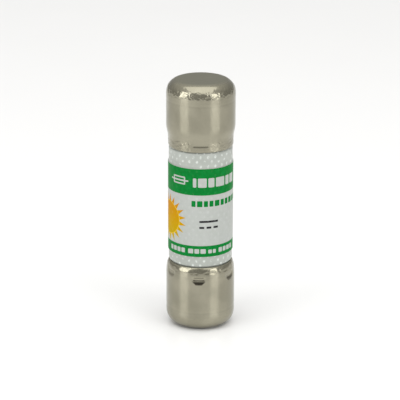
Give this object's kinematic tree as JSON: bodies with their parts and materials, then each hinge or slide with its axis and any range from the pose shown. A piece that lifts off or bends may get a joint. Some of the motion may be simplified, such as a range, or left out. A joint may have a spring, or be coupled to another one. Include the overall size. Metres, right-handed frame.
{
  "type": "cartridge fuse",
  "caption": "Cylindrical 10 x 38 mm cartridge fuse: glass-cloth tube with a printed wrap label, crimped nickel-plated end caps and a notched ribbon element in quartz sand.",
  "frame": {"origin": "centre of the lower end face, which the fuse stands on", "axes": "+Z along the fuse axis towards the upper cap, -Y towards the front of the label, +X to the right of it"},
  "size_m": [0.0104, 0.0104, 0.0381],
  "materials": {
    "glass_melamine": "pale grey glass-cloth laminate, woven texture",
    "label_film": "satin printed film",
    "nickel_plate": "nickel plate on brass, drawn and tumbled",
    "vulcanised_fibre": "dense red fibre",
    "tin_solder": "reflowed solder",
    "silvered_copper": "silver-plated copper strip",
    "tin_bead": "bright tin",
    "quartz_sand": "compacted fine sand"
  },
  "bodies": {
    "root": {"body_tube": "glass_melamine", "rating_label": "label_film", "upper_end_cap": "nickel_plate", "lower_end_cap": "nickel_plate", "upper_end_washer": "vulcanised_fibre", "lower_end_washer": "vulcanised_fibre", "upper_solder_joint": "tin_solder", "lower_solder_joint": "tin_solder", "fuse_element_a": "silvered_copper", "fuse_element_b": "silvered_copper", "m_spot_a": "tin_bead", "m_spot_b": "tin_bead", "sand_filler": "quartz_sand"}
  },
  "joints": []
}
